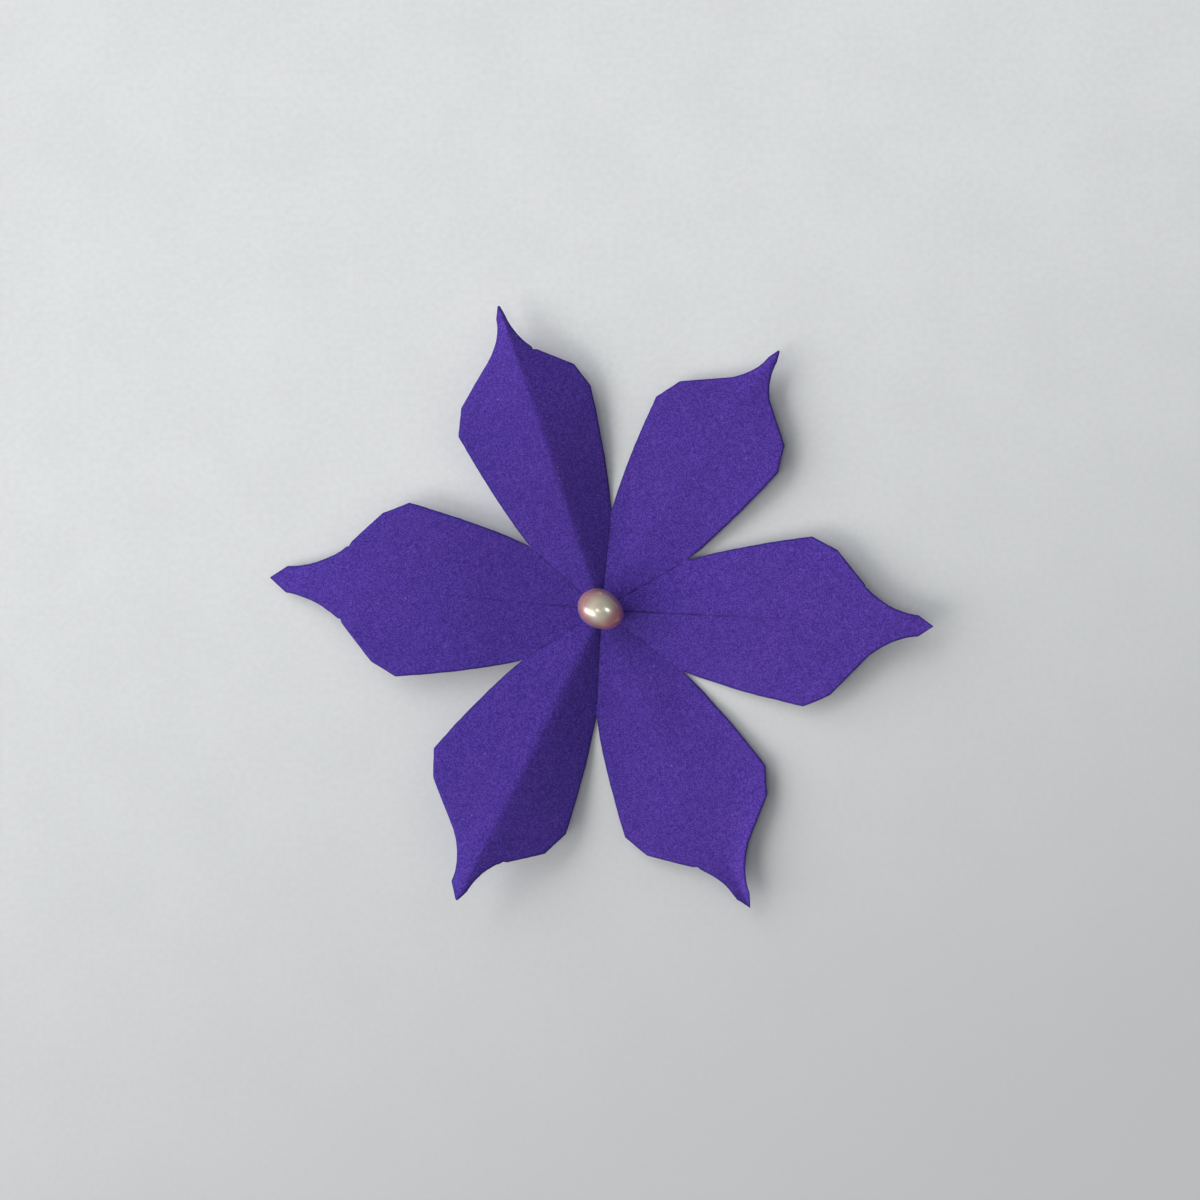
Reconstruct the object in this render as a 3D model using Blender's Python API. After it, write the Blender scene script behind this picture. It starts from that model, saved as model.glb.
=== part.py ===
"""A six-petalled paper flower with a pearl bead glued at its centre, lying on its back.

One sheet of violet craft paper was folded into a wedge of twelve layers, cut along one edge and
opened again. A ridge crease runs up the middle of every petal and a valley crease runs from the
centre to the foot of every gap. Metres, +Z up, with the crease centre over the origin.
"""

import math

import bmesh
import bpy
from mathutils import Matrix, Vector

MM = 0.001

# ---- sheet -------------------------------------------------------------------------------------
PAPER = 0.22 * MM
WELD = 0.001 * MM

# The valley creases, anticlockwise from the right petal's upper gap: bearing in degrees, distance
# from the centre to the foot of the gap, and the crease's rise above the table in degrees.
VALLEYS = [
    (30.0, 13.3 * MM, 2.6),
    (84.1, 13.2 * MM, 0.0),
    (138.0, 12.8 * MM, 6.8),
    (212.7, 12.6 * MM, 7.6),
    (267.2, 14.0 * MM, 0.0),
    (323.2, 13.7 * MM, 0.0),
]

# The petals, anticlockwise from the right one. Bearing and rise of the ridge in degrees, reach of the
# tip, how far the tip droops below the ridge's straight line, the share of the fold that is left at
# the widest part, and the cross slope at the tip. Each half then has four sizes: how far out its widest
# corner is, its width there, at the waist before the tail, and at the tail's shoulder. The first
# half is the anticlockwise one.
PETALS = [
    {"bearing": -2.8, "rise": 5.6, "reach": 44.8 * MM, "droop": 1.0 * MM, "relax": 0.6,
     "tip_slope": 0.1,
     "halves": [(28.0 * MM, 11.2 * MM, 4.1 * MM, 1.3 * MM),
                (28.0 * MM, 11.6 * MM, 4.3 * MM, 1.4 * MM)]},
    {"bearing": 55.5, "rise": 3.3, "reach": 42.5 * MM, "droop": -0.4 * MM, "relax": 0.3,
     "tip_slope": 0.35,
     "halves": [(28.1 * MM, 10.1 * MM, 3.2 * MM, 0.6 * MM),
                (28.9 * MM, 9.1 * MM, 2.6 * MM, 0.5 * MM)]},
    {"bearing": 108.6, "rise": 11.4, "reach": 43.2 * MM, "droop": 5.2 * MM, "relax": 0.8,
     "tip_slope": 0.5,
     "halves": [(28.2 * MM, 10.6 * MM, 3.9 * MM, 0.8 * MM),
                (29.2 * MM, 8.2 * MM, 2.6 * MM, 0.3 * MM)]},
    {"bearing": 174.4, "rise": 6.4, "reach": 45.2 * MM, "droop": 4.4 * MM, "relax": 0.5,
     "tip_slope": 0.1,
     "halves": [(26.7 * MM, 11.5 * MM, 4.7 * MM, 1.7 * MM),
                (27.1 * MM, 11.8 * MM, 4.6 * MM, 1.7 * MM)]},
    {"bearing": 243.5, "rise": 11.8, "reach": 43.2 * MM, "droop": 2.8 * MM, "relax": 0.8,
     "tip_slope": 0.3,
     "halves": [(29.3 * MM, 9.1 * MM, 2.5 * MM, 0.6 * MM),
                (26.6 * MM, 11.7 * MM, 4.4 * MM, 1.6 * MM)]},
    {"bearing": 296.6, "rise": 1.9, "reach": 45.1 * MM, "droop": -0.8 * MM, "relax": 0.2,
     "tip_slope": -0.35,
     "halves": [(28.9 * MM, 10.4 * MM, 3.9 * MM, 0.9 * MM),
                (29.1 * MM, 10.8 * MM, 3.8 * MM, 1.1 * MM)]},
]

# What every half petal shares: the outward bow of its long edge, the short flat after the widest
# corner, the run from that corner to the waist, and where the tail's stations lie along it.
EDGE_BOW = 0.28 * MM
CORNER_FLAT = 3.4 * MM
CORNER_KEEP = 0.855
RUN_BASE = 3.9 * MM
RUN_PER_WIDTH = 0.38
SHOULDER_AT = 0.76
SHOULDER_SAG = 0.9
FLAT_STRETCH, BOWED_STRETCH, TAIL_STRETCH = 0, 1, 4

# Each facet is flat out to CURVE_FROM. WIDEST is where the widest part lies between there and the tip.
CURVE_FROM = 16.0 * MM
WIDEST = 0.5

# Steps along a half petal: to the gap's foot, to the widest corner, over the flat, to the waist,
# along the tail to its shoulder, and to the tip. COLUMNS is the number of steps across.
STEPS = (3, 4, 1, 3, 4, 2)
COLUMNS = 2

# ---- pearl and glue ----------------------------------------------------------------------------
PEARL_LENGTH = 6.5 * MM
PEARL_WIDTH = 5.3 * MM
PEARL_HEIGHT = 5.2 * MM
PEARL_BEARING = -30.0
PEARL_TAPER = 0.07
PEARL_FOOT = 0.80 * MM
GLUE_RADIUS = 1.3 * MM
GLUE_THICK = 0.18 * MM
GLUE_FOOT = 0.42 * MM

# Steps round and up each of the two round pieces.
PEARL_STEPS = (32, 20)
GLUE_STEPS = (24, 8)

VIOLET = (0.083, 0.043, 0.30)
NACRE = (0.75, 0.55, 0.47)
CLEAR = (0.8, 0.8, 0.78)


def material(name, colour, roughness):
    made = bpy.data.materials.new(name)
    made.use_nodes = True
    shader = made.node_tree.nodes["Principled BSDF"]
    shader.inputs["Base Color"].default_value = (*colour, 1.0)
    shader.inputs["Roughness"].default_value = roughness
    shader.inputs["Metallic"].default_value = 0.0
    made.diffuse_color = (*colour, 1.0)
    return made


def add_object(name, mesh, surface):
    mesh.materials.append(surface)
    made = bpy.data.objects.new(name, mesh)
    bpy.context.scene.collection.objects.link(made)
    return made


class HalfPetal:
    """One half of a petal. side is +1 for the anticlockwise half and -1 for the other.

    A point on it is (along, across): the distance out along the ridge's plan line, and sideways.
    """

    def __init__(self, petal, sizes, valley, side):
        corner_at, self.corner, self.waist, self.shoulder = sizes
        valley_bearing, foot, valley_rise = valley
        turn = math.radians(abs((valley_bearing - petal["bearing"] + 180.0) % 360.0 - 180.0))
        self.petal = petal
        self.side = side
        self.climb = math.tan(math.radians(petal["rise"]))
        self.slope = (self.climb * math.cos(turn) - math.tan(math.radians(valley_rise))) / math.sin(turn)
        self.foot_width = foot * math.sin(turn)
        run = RUN_BASE + RUN_PER_WIDTH * self.corner
        waist_at = corner_at + run
        shoulder_at = waist_at + SHOULDER_AT * (petal["reach"] - waist_at)
        self.stations = [0.0, foot * math.cos(turn), corner_at, corner_at + CORNER_FLAT, waist_at,
                         shoulder_at, petal["reach"]]

    def width(self, stretch, t):
        """Half width at the fraction t of one stretch between two stations."""
        if stretch == FLAT_STRETCH:
            return self.foot_width * t
        if stretch == BOWED_STRETCH:
            bow = EDGE_BOW * 4.0 * t * (1.0 - t)
            return self.foot_width + (self.corner - self.foot_width) * t + bow
        ends = [self.corner, CORNER_KEEP * self.corner, self.waist, self.shoulder, 0.0]
        start, end = ends[stretch - 2], ends[stretch - 1]
        if stretch == TAIL_STRETCH:
            return start + (end - start) * (t + SHOULDER_SAG * t * (1.0 - t))
        return start + (end - start) * t

    def height(self, along, across):
        """The ridge's height there less the cross slope: flat facets inside, curving further out."""
        beyond = max(0.0, along - CURVE_FROM) / (self.petal["reach"] - CURVE_FROM)
        ridge = self.climb * along - self.petal["droop"] * beyond ** 2
        opened = self.slope * self.petal["relax"]
        slope = self.slope + (opened - self.slope) * min(1.0, beyond / WIDEST)
        past_widest = max(0.0, beyond - WIDEST) / (1.0 - WIDEST)
        slope += (self.petal["tip_slope"] - opened) * past_widest ** 2
        return ridge - slope * across

    def place(self, along, across):
        bearing = math.radians(self.petal["bearing"])
        sideways = self.side * across
        x = along * math.cos(bearing) - sideways * math.sin(bearing)
        y = along * math.sin(bearing) + sideways * math.cos(bearing)
        return Vector((x, y, self.height(along, across)))


def half_petals():
    """Every petal's two halves, each with the valley crease that bounds it."""
    pairs = []
    for index, petal in enumerate(PETALS):
        first = HalfPetal(petal, petal["halves"][0], VALLEYS[index], 1)
        second = HalfPetal(petal, petal["halves"][1], VALLEYS[index - 1], -1)
        pairs.append((first, second))
    return pairs


def half_rows(half, ridge_stations):
    """Rows of points from the ridge out to the edge, from the centre of the flower to the tip."""
    rows = [[half.place(0.0, 0.0)] * (COLUMNS + 1)]
    for stretch, steps in enumerate(STEPS):
        for step in range(1, steps + 1):
            t = step / steps
            ridge_at = ridge_stations[stretch] * (1.0 - t) + ridge_stations[stretch + 1] * t
            edge_at = half.stations[stretch] * (1.0 - t) + half.stations[stretch + 1] * t
            edge = half.width(stretch, t)
            row = []
            for column in range(COLUMNS + 1):
                share = column / COLUMNS
                row.append(half.place(ridge_at + (edge_at - ridge_at) * share, edge * share))
            rows.append(row)
    return rows


def petal_sheet():
    """The cut and creased sheet: the underside as a mesh, thickened upwards."""
    shape = bmesh.new()
    for pair in half_petals():
        ridge_stations = [(a + b) / 2.0 for a, b in zip(pair[0].stations, pair[1].stations)]
        for half in pair:
            rows = [[shape.verts.new(point) for point in row] for row in half_rows(half, ridge_stations)]
            for low, high in zip(rows, rows[1:]):
                for column in range(COLUMNS):
                    corners = [low[column], high[column], high[column + 1], low[column + 1]]
                    shape.faces.new(corners if half.side > 0 else corners[::-1])
    bmesh.ops.remove_doubles(shape, verts=shape.verts, dist=WELD)
    for face in shape.faces:
        if face.normal.z < 0.0:
            face.normal_flip()
    bmesh.ops.triangulate(shape, faces=shape.faces)
    mesh = bpy.data.meshes.new("petal_sheet")
    shape.to_mesh(mesh)
    shape.free()
    made = add_object("petal_sheet", mesh, material("violet_paper", VIOLET, 0.85))
    thickness = made.modifiers.new("thickness", "SOLIDIFY")
    thickness.thickness = PAPER
    thickness.offset = 1.0
    return made


def pearl_bead():
    """An oval pearl: a ball stretched to the three sizes and drawn in a little towards one end."""
    shape = bmesh.new()
    bmesh.ops.create_uvsphere(shape, u_segments=PEARL_STEPS[0], v_segments=PEARL_STEPS[1], radius=0.5)
    for vert in shape.verts:
        draw_in = 1.0 - PEARL_TAPER * 2.0 * vert.co.x
        vert.co = Vector((vert.co.x * PEARL_LENGTH, vert.co.y * PEARL_WIDTH * draw_in,
                          vert.co.z * PEARL_HEIGHT * (1.0 - 0.5 * PEARL_TAPER * vert.co.x)))
    mesh = bpy.data.meshes.new("pearl_bead")
    shape.to_mesh(mesh)
    shape.free()
    mesh.shade_smooth()
    made = add_object("pearl_bead", mesh, material("pearl", NACRE, 0.18))
    made.location = (0.0, 0.0, PEARL_FOOT + PEARL_HEIGHT / 2.0)
    made.rotation_euler = (0.0, 0.0, math.radians(PEARL_BEARING))
    return made


def glue_dot():
    """The flattened drop of clear glue between the paper and the pearl."""
    shape = bmesh.new()
    size = Matrix.Diagonal((GLUE_RADIUS, GLUE_RADIUS, GLUE_THICK / 2.0, 1.0))
    bmesh.ops.create_uvsphere(shape, u_segments=GLUE_STEPS[0], v_segments=GLUE_STEPS[1], radius=1.0,
                              matrix=size)
    mesh = bpy.data.meshes.new("glue_dot")
    shape.to_mesh(mesh)
    shape.free()
    mesh.shade_smooth()
    made = add_object("glue_dot", mesh, material("clear_glue", CLEAR, 0.25))
    made.location = (0.0, 0.0, GLUE_FOOT + GLUE_THICK / 2.0)
    return made


def main():
    for old in list(bpy.data.objects):
        bpy.data.objects.remove(old, do_unlink=True)
    petal_sheet()
    glue_dot()
    pearl_bead()


main()
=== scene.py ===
import math
import bpy
import numpy as np
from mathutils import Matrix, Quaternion, Vector


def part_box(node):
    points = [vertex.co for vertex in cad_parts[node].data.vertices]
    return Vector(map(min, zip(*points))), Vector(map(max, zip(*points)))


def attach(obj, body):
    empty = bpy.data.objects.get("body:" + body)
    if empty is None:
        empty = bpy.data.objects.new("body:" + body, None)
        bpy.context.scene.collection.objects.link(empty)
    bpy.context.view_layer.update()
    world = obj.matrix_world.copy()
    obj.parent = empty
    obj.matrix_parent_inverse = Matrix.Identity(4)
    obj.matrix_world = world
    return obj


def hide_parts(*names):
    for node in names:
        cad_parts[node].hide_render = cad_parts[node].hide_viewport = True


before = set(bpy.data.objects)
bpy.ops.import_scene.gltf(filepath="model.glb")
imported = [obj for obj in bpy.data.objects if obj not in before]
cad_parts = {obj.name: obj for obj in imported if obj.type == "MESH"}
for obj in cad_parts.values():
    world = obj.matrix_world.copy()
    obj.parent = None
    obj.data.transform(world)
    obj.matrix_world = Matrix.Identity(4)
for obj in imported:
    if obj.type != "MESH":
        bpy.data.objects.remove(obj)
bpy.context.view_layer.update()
print("frame loaded:", ", ".join(sorted(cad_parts)))

mm = 0.001


class Sock:
    # wraps a socket, so that + - and * with a number or another socket add a Math node
    def __init__(self, tree, out):
        self.tree = tree
        self.out = out

    def math(self, operation, other=None):
        values = {0: self} if other is None else {0: self, 1: other}
        return addNode(self.tree, "ShaderNodeMath", {"operation": operation}, values)

    def __add__(self, other):
        return self.math("ADD", other)

    def __radd__(self, other):
        return self.math("ADD", other)

    def __sub__(self, other):
        return self.math("SUBTRACT", other)

    def __rsub__(self, other):
        return (self * -1.0) + other

    def __mul__(self, other):
        return self.math("MULTIPLY", other)

    def __rmul__(self, other):
        return self.math("MULTIPLY", other)

    def clamp(self):
        # holds the value between 0 and 1
        held = self.math("ADD", 0.0)
        held.out.node.use_clamp = True
        return held

    def ramp(self, low, high, first, last):
        # first up to low, last from high on, and smooth between
        return addNode(self.tree, "ShaderNodeMapRange", {"interpolation_type": "SMOOTHSTEP"},
                       {"Value": self, "From Min": low, "From Max": high, "To Min": first, "To Max": last})

    def near(self, width):
        # 1 where the value is 0, falling to 0 at width
        return self.ramp(0.0, width, 1.0, 0.0)

    def rise(self, low, high):
        # 0 up to low, 1 from high on
        return self.ramp(low, high, 0.0, 1.0)


def addNode(tree, kind, settings, inputs, output=0):
    # settings go on the node first, then each input takes a link or a value
    node = tree.nodes.new(kind)
    for name, value in settings.items():
        setattr(node, name, value)
    for name, value in inputs.items():
        if isinstance(value, Sock):
            tree.links.new(value.out, node.inputs[name])
        else:
            node.inputs[name].default_value = value
    return Sock(tree, node.outputs[output])


def newMaterial(name):
    made = bpy.data.materials.new(name)
    made.use_nodes = True
    return made, made.node_tree, made.node_tree.nodes["Principled BSDF"]


def blendColour(tree, factor, first, second, mode="MIX"):
    # RGBA inputs of the Mix node are numbers 6 and 7, its colour output is number 2
    return addNode(tree, "ShaderNodeMix", {"data_type": "RGBA", "blend_type": mode},
                   {0: factor, 6: first, 7: second}, 2)


def objectPlace(tree):
    # output 3 of Texture Coordinate is Object
    return addNode(tree, "ShaderNodeTexCoord", {}, {}, 3)


def partsOf(tree, vector):
    # the x, y and z of a vector, each as a value of its own
    split = addNode(tree, "ShaderNodeSeparateXYZ", {}, {0: vector})
    return [Sock(tree, out) for out in split.out.node.outputs]


def attribute(tree, name):
    # output 2 of Attribute is its plain number
    return addNode(tree, "ShaderNodeAttribute", {"attribute_name": name}, {}, 2)


def noise(tree, where, scale, detail=2.0, roughness=0.5, lie=None):
    # lie is the direction in degrees that the pattern is drawn out along, four times its width
    if lie is not None:
        turn = (0, 0, math.radians(lie))
        where = addNode(tree, "ShaderNodeMapping", {"vector_type": "TEXTURE"},
                        {"Vector": where, "Rotation": turn, "Scale": (4.0, 1.0, 1.0)})
    return addNode(tree, "ShaderNodeTexNoise", {},
                   {"Vector": where, "Scale": scale, "Detail": detail, "Roughness": roughness})


def link(tree, source, socket):
    tree.links.new(source.out, socket)


sheetLook = {
    "thickness": 0.22 * mm,
    "edgeWobble": 0.05 * mm,                # how unsteady the scissors were
    "wobbleLengths": (4.2 * mm, 1.1 * mm),
    "edgeDrop": 0.09 * mm,                  # how far the blades pressed the cut edge down
    "edgeRound": 0.14 * mm,
    "nickLength": 0.28 * mm,
    "waviness": 0.07 * mm,                  # how far the paper is from flat between its creases
    "waveLengths": (17 * mm, 6 * mm),
    "foldRadius": 0.18,                     # in mm, of the sharpest ridge; each petal's roll adds to it
    "sharpAngle": 38.0,                     # in degrees, so that the sheet's rim stays crisp
    "rows": (26, 44, 12, 26, 34, 14),       # steps along each stretch of a half petal
    "colour": (0.069, 0.033, 0.355, 1.0),
    "purple": (0.090, 0.032, 0.332, 1.0),
    # the next colour is painted shade toward the middle, round the bead
    "centreShadeColour": (0.061, 0.0285, 0.302, 1.0),
    "paleFibre": (0.17, 0.085, 0.53, 1.0),
    "darkFibre": (0.035, 0.013, 0.20, 1.0),
    "cloudColour": (0.05, 0.028, 0.26, 1.0),
    "speckColour": (0.30, 0.22, 0.58, 1.0),
    # the next colour is painted shade along the creases
    "creaseShadeColour": (0.016, 0.009, 0.085, 1.0),
    # the next colour is painted shade along the cut edge
    "edgeShadeColour": (0.035, 0.016, 0.19, 1.0),
    "ridgeShadeLine": 0.21 * mm,                 # how far from a crease its painted shade reaches
    "valleyShadeLine": 0.28 * mm,
    "edgeShadeLine": 0.26 * mm,
    "roughness": 0.82,
    "relief": 0.06 * mm,
}

# valley creases: bearing, distance to the foot of the gap, rise in degrees, how dark its painted crease
# shade is
valleys = [
    (30.0, 13.3 * mm, 2.6, 0.85),
    (84.1, 13.2 * mm, 0.0, 0.85),
    (138.0, 12.8 * mm, 6.8, 0.45),
    (212.7, 12.6 * mm, 7.6, 0.60),
    (267.2, 14.0 * mm, 0.0, 0.85),
    (323.2, 13.7 * mm, 0.0, 0.28),
]

# petals: the ridge's bearing and rise in degrees, how softly it is rolled near the middle, the reach
# and droop of the tip, the share of the fold left at the widest part, the cross slope at the tip, and
# how dark the painted shade along the ridge is. Each half has where its widest corner is, its width there,
# at the waist and at the shoulder, the lift of its long edge, and nicks as (place along, depth)
petals = [
    {"bearing": -2.8, "rise": 5.6, "roll": 0.1, "reach": 44.8 * mm, "droop": 1.0 * mm,
     "relax": 0.6, "tipSlope": 0.1, "shadeStrength": 0.95,
     "halves": [(28.0 * mm, 11.2 * mm, 4.1 * mm, 1.3 * mm, 0.25 * mm, [(35.4 * mm, 0.30 * mm)]),
                (28.0 * mm, 11.6 * mm, 4.3 * mm, 1.4 * mm, 0.1 * mm, [])]},
    {"bearing": 55.5, "rise": 3.3, "roll": 0.5, "reach": 42.5 * mm, "droop": -0.4 * mm,
     "relax": 0.3, "tipSlope": 0.35, "shadeStrength": 0.1,
     "halves": [(28.1 * mm, 10.1 * mm, 3.2 * mm, 0.6 * mm, 0.1 * mm, []),
                (28.9 * mm, 9.1 * mm, 2.6 * mm, 0.5 * mm, 0.3 * mm, [])]},
    {"bearing": 108.6, "rise": 11.4, "roll": 0.2, "reach": 43.2 * mm, "droop": 5.2 * mm,
     "relax": 0.8, "tipSlope": 0.5, "shadeStrength": 0.2,
     "halves": [(28.2 * mm, 10.6 * mm, 3.9 * mm, 0.8 * mm, 0.2 * mm, []),
                (29.2 * mm, 8.2 * mm, 2.6 * mm, 0.3 * mm, 0.1 * mm, [(36.1 * mm, 0.35 * mm)])]},
    {"bearing": 174.4, "rise": 6.4, "roll": 0.2, "reach": 45.2 * mm, "droop": 4.4 * mm,
     "relax": 0.5, "tipSlope": 0.1, "shadeStrength": 0.45,
     "halves": [(26.7 * mm, 11.5 * mm, 4.7 * mm, 1.7 * mm, 0.15 * mm, [(34.8 * mm, 0.30 * mm)]),
                (27.1 * mm, 11.8 * mm, 4.6 * mm, 1.7 * mm, 0.1 * mm, [(34.6 * mm, 0.35 * mm)])]},
    {"bearing": 243.5, "rise": 11.8, "roll": 0.65, "reach": 43.2 * mm, "droop": 2.8 * mm,
     "relax": 0.8, "tipSlope": 0.3, "shadeStrength": 0.2,
     "halves": [(29.3 * mm, 9.1 * mm, 2.5 * mm, 0.6 * mm, 0.1 * mm, [(35.9 * mm, 0.35 * mm)]),
                (26.6 * mm, 11.7 * mm, 4.4 * mm, 1.6 * mm, 0.2 * mm, [])]},
    {"bearing": 296.6, "rise": 1.9, "roll": 0.5, "reach": 45.1 * mm, "droop": -0.8 * mm,
     "relax": 0.2, "tipSlope": -0.35, "shadeStrength": 0.15,
     "halves": [(28.9 * mm, 10.4 * mm, 3.9 * mm, 0.9 * mm, 0.45 * mm, []),
                (29.1 * mm, 10.8 * mm, 3.8 * mm, 1.1 * mm, 0.1 * mm, [(36.8 * mm, 0.30 * mm)])]},
]

cutPattern = {
    "edgeBow": 0.28 * mm,
    "cornerFlat": 3.4 * mm,
    "cornerKeep": 0.855,
    "runBase": 3.9 * mm,
    "runPerWidth": 0.38,
    "shoulderAt": 0.76,
    "shoulderSag": 0.45,
    "curveFrom": 16.0 * mm,
}

# shares of the way from ridge to cut edge, closest together where the sheet bends
across = np.array([0, .006, .014, .03, .07, .14, .23, .33, .44, .55, .66, .76, .85, .92, .965, .988, 1.0])


def ripple(x, y, size, seed):
    # sum of five sine waves, each along its own seeded direction, averaging to zero
    rng = np.random.default_rng(seed)
    waves = 5
    total = np.zeros_like(x)
    for turn, phase, stretch in rng.uniform((0, 0, 0.7), (math.tau, math.tau, 1.5), (waves, 3)):
        along = x * math.cos(turn) + y * math.sin(turn)
        total += np.sin(along / (size * stretch) * math.tau + phase)
    return total / waves


def halfOutline(petal, half, valley):
    # stations along the ridge and the width at each: straight cuts with one bowed and one sagging run
    cornerAt, corner, waist, shoulder = half[:4]
    turn = math.radians(abs((valley[0] - petal["bearing"] + 180.0) % 360.0 - 180.0))
    foot = valley[1]
    flatEnd = cornerAt + cutPattern["cornerFlat"]
    waistAt = cornerAt + cutPattern["runBase"] + cutPattern["runPerWidth"] * corner
    shoulderAt = waistAt + cutPattern["shoulderAt"] * (petal["reach"] - waistAt)
    stations = [0.0, foot * math.cos(turn), cornerAt, flatEnd, waistAt, shoulderAt, petal["reach"]]
    flatWidth = cutPattern["cornerKeep"] * corner
    widths = [0.0, foot * math.sin(turn), corner, flatWidth, waist, shoulder, 0.0]
    return turn, np.array(stations), np.array(widths)


def halfGrid(petal, half, valley, side, ridgeStations, seed):
    # rows run from the ridge to the cut edge; point = ridge line + share * (edge - ridge line)
    turn, stations, widths = halfOutline(petal, half, valley)
    stretch, t = [], []
    for index, steps in enumerate(sheetLook["rows"]):
        first = 0 if index == 0 else 1
        stretch.append(np.full(steps + 1 - first, index))
        t.append(np.linspace(0.0, 1.0, steps + 1)[first:])
    stretch, t = np.concatenate(stretch), np.concatenate(t)
    ridgeAt = ridgeStations[stretch] * (1 - t) + ridgeStations[stretch + 1] * t
    edgeAt = stations[stretch] * (1 - t) + stations[stretch + 1] * t
    edge = widths[stretch] * (1 - t) + widths[stretch + 1] * t
    edge += np.where(stretch == 1, cutPattern["edgeBow"] * 4 * t * (1 - t), 0.0)
    tail = widths[5] - widths[4]
    edge += np.where(stretch == 4, tail * cutPattern["shoulderSag"] * 2 * t * (1 - t), 0.0)
    pastFoot = np.clip((edgeAt - stations[1]) / (3 * mm), 0, 1)
    beforeTip = np.clip((petal["reach"] - edgeAt) / (4 * mm), 0, 1)
    free = pastFoot * beforeTip
    longWobble, shortWobble = sheetLook["wobbleLengths"]
    rough = ripple(edgeAt, edgeAt * 0, longWobble, seed)
    rough += 0.6 * ripple(edgeAt, edgeAt * 0, shortWobble, seed + 1)
    edge += free * sheetLook["edgeWobble"] * rough
    for place, depth in half[5]:
        step = (edgeAt - place) / sheetLook["nickLength"]
        edge -= depth * np.where(step > 0, np.exp(-step * step), np.exp(-9 * step * step))

    share = across[None, :]
    along = ridgeAt[:, None] + (edgeAt - ridgeAt)[:, None] * share
    sideways = edge[:, None] * share

    # height = ridge line - cross slope * distance from the ridge, then the droop, bow and lift
    climb = math.tan(math.radians(petal["rise"]))
    slope = (climb * math.cos(turn) - math.tan(math.radians(valley[2]))) / math.sin(turn)
    curveFrom = cutPattern["curveFrom"]
    beyond = np.clip(along - curveFrom, 0, None) / (petal["reach"] - curveFrom)
    height = climb * along - petal["droop"] * beyond ** 2
    opened = slope * petal["relax"]
    slope = slope + (opened - slope) * np.minimum(1.0, 2 * beyond)
    slope = slope + (petal["tipSlope"] - opened) * np.clip(2 * beyond - 1, 0, None) ** 2
    soft = (sheetLook["foldRadius"] + petal["roll"] * (1 - 0.6 * along / petal["reach"])) * mm
    fullRoll = np.maximum(np.hypot(edge[:, None], soft) - soft, 1e-9)
    rolled = (np.hypot(sideways, soft) - soft) / fullRoll
    height -= slope * rolled * edge[:, None]
    outer = np.clip((along - stations[1]) / (8 * mm), 0, 1)
    inner = np.clip((petal["reach"] - along) / (12 * mm), 0, 1)
    height += half[4] * outer * share ** 2.5 * inner

    toEdge = edge[:, None] * (1 - share)
    pressed = np.clip(1 - toEdge / sheetLook["edgeRound"], 0, 1) ** 1.5
    height -= free[:, None] * sheetLook["edgeDrop"] * pressed

    bearing = math.radians(petal["bearing"])
    x = along * math.cos(bearing) - side * sideways * math.sin(bearing)
    y = along * math.sin(bearing) + side * sideways * math.cos(bearing)
    radius = np.hypot(x, y)
    lively = np.clip((radius - 5 * mm) / (14 * mm), 0, 1)
    longWave, shortWave = sheetLook["waveLengths"]
    wave = ripple(x, y, longWave, 5) + 0.35 * ripple(x, y, shortWave, 9)
    height += sheetLook["waviness"] * lively * wave
    points = np.stack([x, y, np.maximum(height, 0.0)], -1)

    # the material reads these: distances to the nearest creases and cut, and how dark the painted shade
    # along each crease is
    fromValley = np.abs(along * math.sin(turn) - sideways * math.cos(turn))
    beyondFoot = np.clip((radius - valley[1] * 0.93) / (1.2 * mm), 0, 1)
    farAway = 5 * mm
    marks = {
        "ridgeDist": sideways + 0 * along,
        "valleyDist": fromValley + beyondFoot * 4 * mm,
        "edgeDist": np.where(stretch[:, None] == 0, farAway, edge[:, None] - sideways),
        "ridgeShadeStrength": np.full_like(along, petal["shadeStrength"]),
        "valleyShadeStrength": np.full_like(along, valley[3]),
    }
    return points, marks


def gridFaces(rows, columns, side):
    # two triangles for each cell, wound so that they face up on either side of the ridge
    index = np.arange(rows * columns).reshape(rows, columns)
    a, b, c, d = index[:-1, :-1], index[1:, :-1], index[1:, 1:], index[:-1, 1:]
    lower = np.stack([a, b, c], -1).reshape(-1, 3)
    upper = np.stack([a, c, d], -1).reshape(-1, 3)
    triangles = np.concatenate([lower, upper])
    return triangles if side > 0 else triangles[:, ::-1]


def weld(points, triangles, marks):
    # points that share a place become one, and triangles that lose a corner are dropped
    samePlace = 0.0005 * mm
    keys = np.round(points / samePlace).astype(np.int64)
    _, first, inverse = np.unique(keys, axis=0, return_index=True, return_inverse=True)
    triangles = inverse.reshape(-1)[triangles]
    a, b, c = triangles.T
    keep = (a != b) & (b != c) & (a != c)
    return points[first], triangles[keep], {name: values[first] for name, values in marks.items()}


def meshFrom(name, points, triangles, marks=None):
    # an object at the origin, with each mark as a point attribute
    mesh = bpy.data.meshes.new(name)
    mesh.from_pydata(points.tolist(), [], triangles.tolist())
    for key, values in (marks or {}).items():
        layer = mesh.attributes.new(key, "FLOAT", "POINT")
        layer.data.foreach_set("value", values.astype(np.float32))
    mesh.shade_smooth()
    made = bpy.data.objects.new(name, mesh)
    bpy.context.scene.collection.objects.link(made)
    return made


def applyModifiers(piece, sharpAngle):
    # the mesh with its modifiers worked in, its normals split where faces meet at more than sharpAngle
    graph = bpy.context.evaluated_depsgraph_get()
    solid = bpy.data.meshes.new_from_object(piece.evaluated_get(graph))
    piece.modifiers.clear()
    piece.data = solid
    solid.set_sharp_from_angle(angle=math.radians(sharpAngle))


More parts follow.
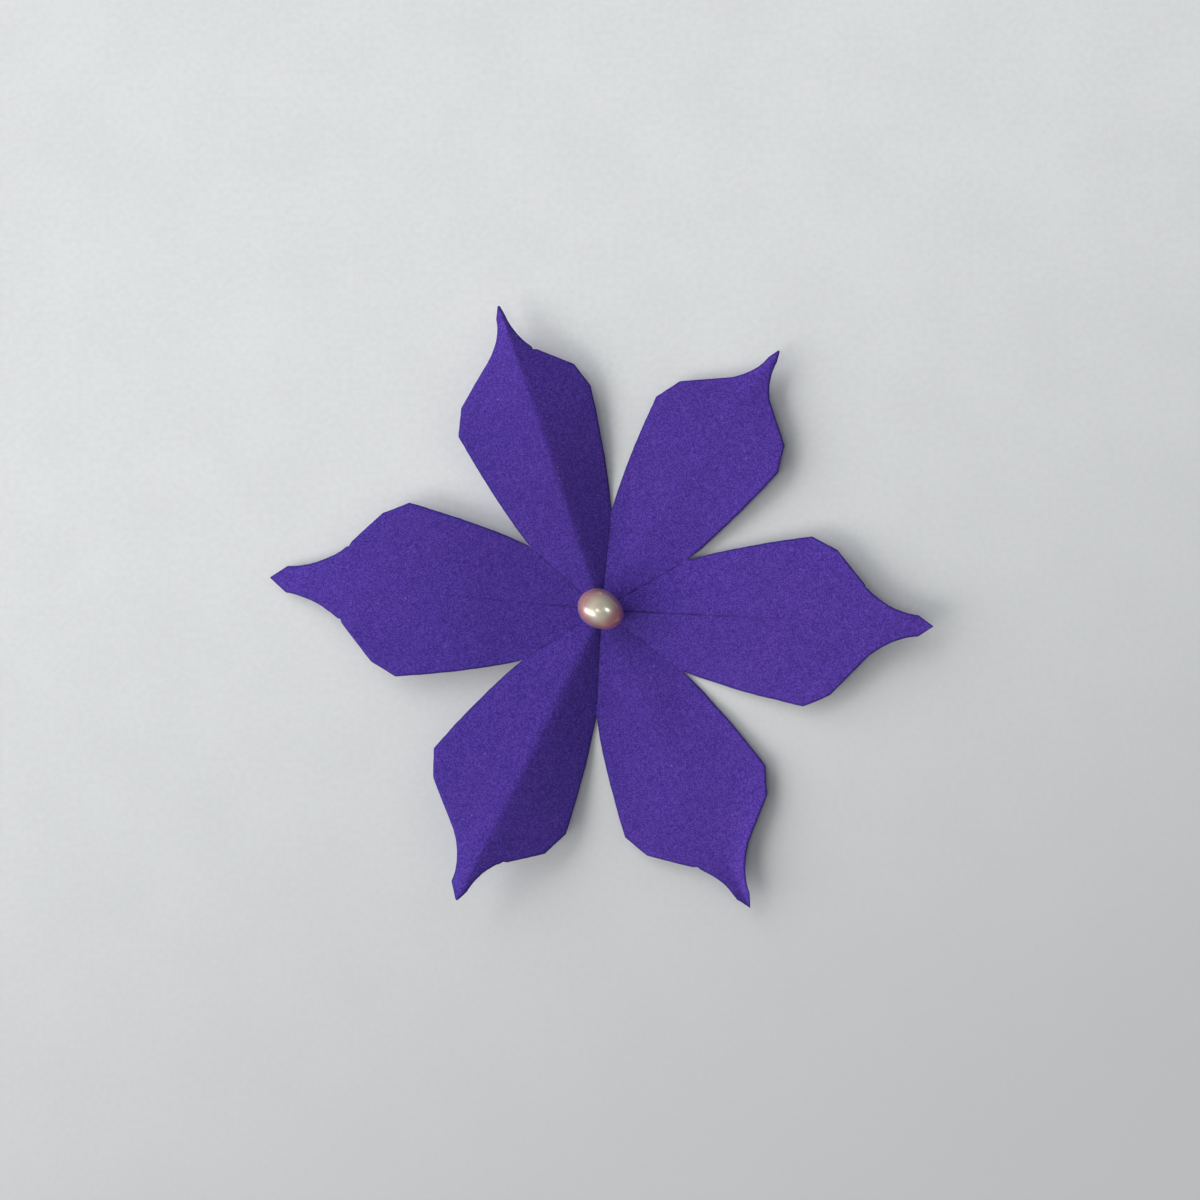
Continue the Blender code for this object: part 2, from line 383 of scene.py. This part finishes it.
def makeSheet():
    # twelve half petals, each between its own ridge and a valley, welded into one sheet
    allPoints, allTriangles, allMarks = [], [], []
    count = 0
    for number, petal in enumerate(petals):
        bounding = (valleys[number], valleys[number - 1])
        outlines = [halfOutline(petal, petal["halves"][i], bounding[i])[1] for i in (0, 1)]
        ridgeStations = (outlines[0] + outlines[1]) / 2
        for i, side in enumerate((1, -1)):
            seed = 40 + 7 * number + i
            points, marks = halfGrid(petal, petal["halves"][i], bounding[i], side, ridgeStations, seed)
            allTriangles.append(gridFaces(points.shape[0], points.shape[1], side) + count)
            allPoints.append(points.reshape(-1, 3))
            allMarks.append({key: values.reshape(-1) for key, values in marks.items()})
            count += points.shape[0] * points.shape[1]
    marks = {key: np.concatenate([part[key] for part in allMarks]) for key in allMarks[0]}
    welded = weld(np.concatenate(allPoints), np.concatenate(allTriangles), marks)
    piece = meshFrom("petalPaper", *welded)
    wall = piece.modifiers.new("thickness", "SOLIDIFY")
    wall.thickness = sheetLook["thickness"]
    wall.offset = 1.0
    applyModifiers(piece, sheetLook["sharpAngle"])
    piece.data.materials.append(paperMaterial())
    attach(piece, "root")
    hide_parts("petal_sheet")
    print("sheet:", len(piece.data.polygons), "faces")
    return piece


def paperMaterial():
    made, tree, shader = newMaterial("violetPaper")
    where = objectPlace(tree)
    ridge = attribute(tree, "ridgeDist")
    valley = attribute(tree, "valleyDist")
    edge = attribute(tree, "edgeDist")
    east, north, _ = partsOf(tree, where)
    radius = (east * east + north * north).math("SQRT")

    # fine grain, felted fibres lying two ways, and faint broad clouding
    fine = noise(tree, where, 5800.0, 1.0, 0.5)
    felt = noise(tree, where, 2300.0, 2.0, 0.6)
    fibreA = noise(tree, where, 2600.0, 2.0, 0.6, 35.0)
    fibreB = noise(tree, where, 2900.0, 2.0, 0.6, 110.0)
    cloud = noise(tree, where, 160.0, 3.0, 0.55)
    mottle = fine * 0.58 + felt * 0.18 + fibreA * 0.12 + fibreB * 0.12
    tone = mottle.rise(0.39, 0.61)

    # a little redder in patches and toward the right; painted shade darkens the middle, round the bead
    patch = noise(tree, where, 70.0, 2.0).rise(0.38, 0.64)
    redder = patch * 0.4 + east.rise(-34 * mm, 18 * mm) * 0.6
    hue = blendColour(tree, redder, sheetLook["colour"], sheetLook["purple"])
    spread = radius.rise(2 * mm, 26 * mm)
    base = blendColour(tree, spread, sheetLook["centreShadeColour"], hue)
    light = blendColour(tree, tone * 0.52, base, sheetLook["paleFibre"])
    dark = blendColour(tree, (1.0 - tone) * 0.70, light, sheetLook["darkFibre"])
    clouded = blendColour(tree, cloud.rise(0.35, 0.7) * 0.16, dark, sheetLook["cloudColour"])

    # sparse pale specks and dark pits
    cell = addNode(tree, "ShaderNodeTexVoronoi", {"feature": "F1"}, {"Vector": where, "Scale": 700.0})
    speck = cell.near(0.13) * noise(tree, where, 300.0).rise(0.56, 0.62)
    specked = blendColour(tree, speck * 0.8, clouded, sheetLook["speckColour"])
    pit = noise(tree, where, 1500.0, 1.0).rise(0.66, 0.74)
    pitted = blendColour(tree, pit * 0.45, specked, sheetLook["darkFibre"])

    # painted shade along the creases, broken up by the fibres and fading outward
    ridgeShadeLine = ridge.near(sheetLook["ridgeShadeLine"]) * attribute(tree, "ridgeShadeStrength")
    valleyShadeLine = valley.near(sheetLook["valleyShadeLine"]) * attribute(tree, "valleyShadeStrength")
    broken = noise(tree, where, 500.0, 2.0).rise(0.30, 0.60) * 0.6 + 0.4
    fade = 1.0 - radius.rise(6 * mm, 34 * mm)
    creaseShade = (ridgeShadeLine + valleyShadeLine).math("MINIMUM", 1.0) * broken * fade
    creaseShaded = blendColour(tree, creaseShade * 0.92, pitted, sheetLook["creaseShadeColour"])

    # painted shade along the cut edge: a thin dark line all round the sheet
    edgeShade = edge.near(sheetLook["edgeShadeLine"])
    final = blendColour(tree, edgeShade * 0.95, creaseShaded, sheetLook["edgeShadeColour"])
    link(tree, final, shader.inputs["Base Color"])

    rough = (tone * 0.10 + (sheetLook["roughness"] - 0.05)).clamp()
    link(tree, rough, shader.inputs["Roughness"])
    height = mottle - creaseShade * 1.2
    bump = addNode(tree, "ShaderNodeBump", {},
                   {"Height": height, "Strength": 0.35, "Distance": sheetLook["relief"]})
    link(tree, bump, shader.inputs["Normal"])
    shader.inputs["Specular IOR Level"].default_value = 0.2
    shader.inputs["Sheen Weight"].default_value = 0.05
    shader.inputs["Sheen Roughness"].default_value = 0.5
    return made


pearlLook = {
    "length": 6.5 * mm,
    "width": 5.3 * mm,
    "height": 5.2 * mm,
    "bearing": -30.0,
    "taper": 0.07,
    "lumps": 0.035 * mm,
    "grid": (128, 72),                      # steps round and from pole to pole
    # the top and rim colours carry painted sheen, the side colour painted light glowing through, and the
    # underside colour painted shade
    "crownSheen": (0.66, 0.61, 0.48, 1.0),
    "rimSheen": (0.44, 0.22, 0.21, 1.0),
    "glowSide": (0.66, 0.20, 0.21, 1.0),
    "undersideShade": (0.52, 0.30, 0.30, 1.0),
    "bandColour": (0.80, 0.62, 0.52, 1.0),
    "roughness": 0.30,
    "relief": 0.02 * mm,
    "glowDepth": 1.6 * mm,
}


def pearlSurface(turnShare, riseShare):
    # egg: a ball stretched to three sizes, its width drawn in along its length, plus slow lumps
    turn, rise = turnShare * math.tau, (riseShare - 0.5) * math.pi
    ux, uy, uz = np.cos(rise) * np.cos(turn), np.cos(rise) * np.sin(turn), np.sin(rise)
    x = ux * pearlLook["length"] / 2
    y = uy * pearlLook["width"] / 2 * (1 - pearlLook["taper"] * ux)
    z = uz * pearlLook["height"] / 2 * (1 - 0.25 * pearlLook["taper"] * ux)
    lump = pearlLook["lumps"] * (np.sin(2.1 * ux * 2 + 1.3 * uz) * np.cos(1.7 * uy * 2 + 0.6) - 0.4)
    scale = 1 + np.minimum(lump, 0) / (pearlLook["width"] / 2)
    bearing = math.radians(pearlLook["bearing"])
    return np.stack([(x * math.cos(bearing) - y * math.sin(bearing)) * scale,
                     (x * math.sin(bearing) + y * math.cos(bearing)) * scale, z * scale], -1)


def closedGrid(name, surface, around, up):
    # a two-parameter surface closed round its turn and at both poles
    turnShare, riseShare = np.meshgrid(np.linspace(0, 1, around + 1), np.linspace(0, 1, up + 1))
    points = surface(turnShare, riseShare)
    points[:, -1] = points[:, 0]
    points[0], points[-1] = points[0].mean(0), points[-1].mean(0)
    triangles = gridFaces(up + 1, around + 1, -1)
    points, triangles, _ = weld(points.reshape(-1, 3), triangles, {})
    return meshFrom(name, points, triangles)


def makePearl():
    low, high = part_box("pearl_bead")
    middle = (np.array(low) + np.array(high)) / 2
    piece = closedGrid("pearlBead", lambda u, v: pearlSurface(u, v) + middle, *pearlLook["grid"])
    piece.data.materials.append(pearlMaterial(middle))
    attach(piece, "root")
    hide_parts("pearl_bead")
    print("pearl:", len(piece.data.polygons), "faces")
    return piece


def pearlMaterial(middle):
    made, tree, shader = newMaterial("pearlNacre")
    where = objectPlace(tree)
    local = addNode(tree, "ShaderNodeVectorMath", {"operation": "SUBTRACT"}, {0: where, 1: tuple(middle)})
    east, north, up = partsOf(tree, local)

    # cream on top to rose round the rim: the nacre's colours with its iridescent sheen painted in as seen
    # from above; painted light glowing through on the front right, and painted shade underneath
    drift = noise(tree, where, 260.0, 2.0) * 0.9 * mm
    flat = (east * east + north * north).math("SQRT") + drift
    rim = flat.rise(1.35 * mm, 2.9 * mm)
    glowShare = (east * 0.7 - north * 0.7).rise(0.6 * mm, 2.6 * mm)
    shadeBelow = (up * -1.0).rise(-0.4 * mm, 1.8 * mm)
    crownSheen = blendColour(tree, rim, pearlLook["crownSheen"], pearlLook["rimSheen"])
    glowing = blendColour(tree, glowShare * 0.8, crownSheen, pearlLook["glowSide"])
    base = blendColour(tree, shadeBelow, glowing, pearlLook["undersideShade"])
    bands = addNode(tree, "ShaderNodeTexWave", {"bands_direction": "Z"},
                    {"Vector": where, "Scale": 900.0, "Distortion": 3.0, "Detail": 2.0})
    final = blendColour(tree, bands * 0.10, base, pearlLook["bandColour"])
    link(tree, final, shader.inputs["Base Color"])

    rough = noise(tree, where, 900.0) * 0.10 + (pearlLook["roughness"] - 0.05)
    link(tree, rough, shader.inputs["Roughness"])
    uneven = noise(tree, where, 420.0, 2.0)
    bump = addNode(tree, "ShaderNodeBump", {},
                   {"Height": uneven, "Strength": 0.25, "Distance": pearlLook["relief"]})
    link(tree, bump, shader.inputs["Normal"])
    shader.inputs["Metallic"].default_value = 0.35
    shader.inputs["Subsurface Weight"].default_value = 0.5
    shader.inputs["Subsurface Radius"].default_value = (1.0, 0.55, 0.45)
    shader.inputs["Subsurface Scale"].default_value = pearlLook["glowDepth"]
    shader.inputs["Specular IOR Level"].default_value = 0.6
    shader.inputs["Coat Weight"].default_value = 1.0
    shader.inputs["Coat Roughness"].default_value = 0.12
    shader.inputs["Coat IOR"].default_value = 1.6
    return made


glueLook = {
    "radius": 1.3 * mm,
    "spread": 0.10,                         # how far from round the drop is
    "grid": (64, 16),
    "colour": (0.62, 0.60, 0.56, 1.0),
    "dullColour": (0.45, 0.43, 0.42, 1.0),
    "roughness": 0.18,
}


def glueSurface(turnShare, riseShare):
    # a flattened drop: a ball squashed to the gap, its radius wandering a little with the turn
    turn, rise = turnShare * math.tau, (riseShare - 0.5) * math.pi
    wander = 1 - glueLook["spread"] * (0.5 + 0.25 * np.sin(2 * turn + 0.7) + 0.25 * np.sin(3 * turn))
    radius = glueLook["radius"] * wander * np.cos(rise)
    low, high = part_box("glue_dot")
    half = (high[2] - low[2]) / 2
    z = half * np.sin(rise) + (high[2] + low[2]) / 2
    return np.stack([radius * np.cos(turn), radius * np.sin(turn), z], -1)


def makeGlue():
    piece = closedGrid("glueDrop", glueSurface, *glueLook["grid"])
    piece.data.materials.append(glueMaterial())
    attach(piece, "root")
    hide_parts("glue_dot")
    print("glue:", len(piece.data.polygons), "faces")
    return piece


def glueMaterial():
    made, tree, shader = newMaterial("clearGlue")
    cloud = noise(tree, objectPlace(tree), 900.0) * 0.5
    tint = blendColour(tree, cloud, glueLook["colour"], glueLook["dullColour"])
    link(tree, tint, shader.inputs["Base Color"])
    shader.inputs["Roughness"].default_value = glueLook["roughness"]
    shader.inputs["Transmission Weight"].default_value = 0.6
    return made


studio = {
    "floorSize": 2.0,                       # from the middle to each side
    "floorDrop": 0.0001,                    # so that the floor and the sheet's foot don't share a plane
    "floorColour": (0.885, 0.89, 0.87, 1.0),
    "frontShade": 0.68,                      # how dark the painted shade on the floor's front is
    "skyColour": (0.88, 0.93, 1.0, 1.0),
    "skyStrength": 0.24,
    # name, direction from the flower, distance, width, height, roll in degrees, watts, colour, and
    # whether it shows in highlights only, in diffuse light only or in both
    "lights": [
        ("window", (-0.80, -0.33, 0.49), 2.40, 2.20, 1.00, 48.0, 32.0, (1.0, 0.98, 0.955), "both"),
        ("windowGlint", (-0.80, -0.33, 0.49), 2.40, 2.20, 1.00, 48.0, 21.0,
         (1.0, 0.98, 0.955), "highlight"),
        ("softLeft", (-0.78, 0.43, 0.455), 2.20, 2.60, 1.70, 0.0, 46.0, (0.95, 0.97, 1.0), "diffuse"),
        ("ceiling", (-0.226, -0.139, 0.964), 0.70, 0.14, 0.14, 0.0, 0.30, (1.0, 1.0, 1.0), "both"),
        ("lamp", (0.50, 0.08, 0.86), 0.60, 0.16, 0.16, 0.0, 0.60, (0.97, 0.98, 1.0), "highlight"),
    ],
    "cameraHeight": 0.28,
    "frameWidth": 0.1637,
    "lookAt": (-0.00014, 0.00136),
}


def makeFloor():
    size = studio["floorSize"]
    points = np.array([(-size, -size, 0), (size, -size, 0), (size, size, 0), (-size, size, 0)], float)
    floor = meshFrom("floor", points, np.array([(0, 1, 2), (0, 2, 3)]))
    floor.data.materials.append(floorMaterial())
    floor.location.z = -studio["floorDrop"]


def floorMaterial():
    made, tree, shader = newMaterial("paleFloor")
    where = objectPlace(tree)
    east, north, _ = partsOf(tree, where)
    red, green, blue, _ = studio["floorColour"]
    tone = noise(tree, where, 1300.0, 3.0) * 0.6 + noise(tree, where, 90.0, 2.0) * 0.4
    duller = (red * 0.93, green * 0.93, blue * 0.935, 1.0)
    colour = blendColour(tree, tone.rise(0.3, 0.7), duller, studio["floorColour"])

    # painted shade: the table top is darker and greyer toward its front right
    front = studio["frontShade"]
    frontShadeColour = (red * front, green * front, blue * (front + 0.01), 1.0)
    frontShadeShare = 1.0 - (north * 0.9 - east * 0.4).rise(-0.10, 0.06)
    toned = blendColour(tree, frontShadeShare * 0.9, colour, frontShadeColour)
    link(tree, toned, shader.inputs["Base Color"])
    shader.inputs["Roughness"].default_value = 0.75
    shader.inputs["Specular IOR Level"].default_value = 0.2
    return made


def makeLights():
    for name, direction, distance, width, height, roll, watts, colour, shows in studio["lights"]:
        data = bpy.data.lights.new(name, "AREA")
        data.shape = "RECTANGLE" if width != height else "DISK"
        data.size = width
        data.size_y = height
        data.energy = watts
        data.color = colour
        lamp = bpy.data.objects.new(name, data)
        lamp.location = Vector(direction).normalized() * distance
        aim = Vector(direction).to_track_quat("Z", "Y")
        lamp.rotation_euler = (aim @ Quaternion((0, 0, 1), math.radians(roll))).to_euler()
        lamp.visible_glossy = shows != "diffuse"
        lamp.visible_diffuse = shows != "highlight"
        bpy.context.scene.collection.objects.link(lamp)
    world = bpy.data.worlds.new("studioSky")
    world.use_nodes = True
    sky = world.node_tree.nodes["Background"]
    sky.inputs["Color"].default_value = studio["skyColour"]
    sky.inputs["Strength"].default_value = studio["skyStrength"]
    bpy.context.scene.world = world
    bpy.context.scene.view_settings.view_transform = "Standard"


def makeCamera():
    data = bpy.data.cameras.new("camera")
    data.sensor_width = 36.0
    data.lens = 36.0 * studio["cameraHeight"] / studio["frameWidth"]
    data.clip_start = 0.01
    camera = bpy.data.objects.new("camera", data)
    camera.location = (*studio["lookAt"], studio["cameraHeight"])
    bpy.context.scene.collection.objects.link(camera)
    bpy.context.scene.camera = camera


makeSheet()
makePearl()
makeGlue()
makeFloor()
makeLights()
makeCamera()
print("scene ready")
